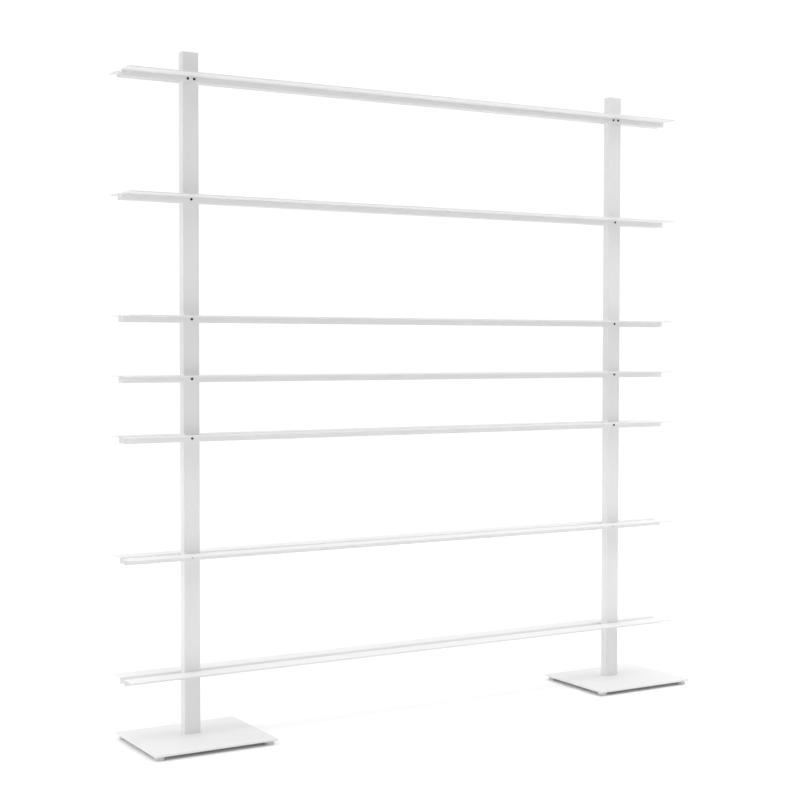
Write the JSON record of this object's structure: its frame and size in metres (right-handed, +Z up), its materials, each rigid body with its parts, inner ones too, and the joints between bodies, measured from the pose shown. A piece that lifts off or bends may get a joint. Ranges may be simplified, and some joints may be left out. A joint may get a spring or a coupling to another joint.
{
  "type": "bookcase",
  "caption": "Free-standing two-sided steel bookcase: two tube posts on raised base plates carry pairs of slim L-shaped ledge rails, bolted through the posts.",
  "frame": {"origin": "on the floor, under the middle of the whole part, midway between the two base plates", "axes": "+X along the rails to the right as seen from the front, +Y to the back, +Z up; the posts stand behind the middle of the base plates"},
  "size_m": [2, 0.315, 2.018],
  "materials": {
    "post_coat": "white powder coat, fine satin texture",
    "rail_coat": "white powder coat, fine satin texture",
    "base_coat": "white powder coat, fine satin texture",
    "cap_plastic": "white moulded nylon",
    "glide_plastic": "off-white moulded nylon",
    "black_fastener": "black passivated steel",
    "zinc_bolt": "zinc plated",
    "bare_steel": "sawn bar"
  },
  "bodies": {
    "root": {"back_rail_1": "rail_coat", "back_rail_2": "rail_coat", "back_rail_3": "rail_coat", "back_rail_4": "rail_coat", "back_rail_5": "rail_coat", "back_rail_6": "rail_coat", "back_rail_7": "rail_coat", "front_rail_1": "rail_coat", "front_rail_2": "rail_coat", "front_rail_3": "rail_coat", "front_rail_4": "rail_coat", "front_rail_5": "rail_coat", "front_rail_6": "rail_coat", "front_rail_7": "rail_coat", "left_base_bolts": "zinc_bolt", "left_base_plate": "base_coat", "left_foot_block": "bare_steel", "left_glides": "glide_plastic", "left_post": "post_coat", "left_post_cap": "cap_plastic", "rail_screws_1": "black_fastener", "rail_screws_2": "black_fastener", "rail_screws_3": "black_fastener", "rail_screws_4": "black_fastener", "rail_screws_5": "black_fastener", "rail_screws_6": "black_fastener", "rail_screws_7": "black_fastener", "rail_sleeve_nuts_1": "black_fastener", "rail_sleeve_nuts_2": "black_fastener", "rail_sleeve_nuts_3": "black_fastener", "rail_sleeve_nuts_4": "black_fastener", "rail_sleeve_nuts_5": "black_fastener", "rail_sleeve_nuts_6": "black_fastener", "rail_sleeve_nuts_7": "black_fastener", "right_base_bolts": "zinc_bolt", "right_base_plate": "base_coat", "right_foot_block": "bare_steel", "right_glides": "glide_plastic", "right_post": "post_coat", "right_post_cap": "cap_plastic"}
  },
  "joints": []
}
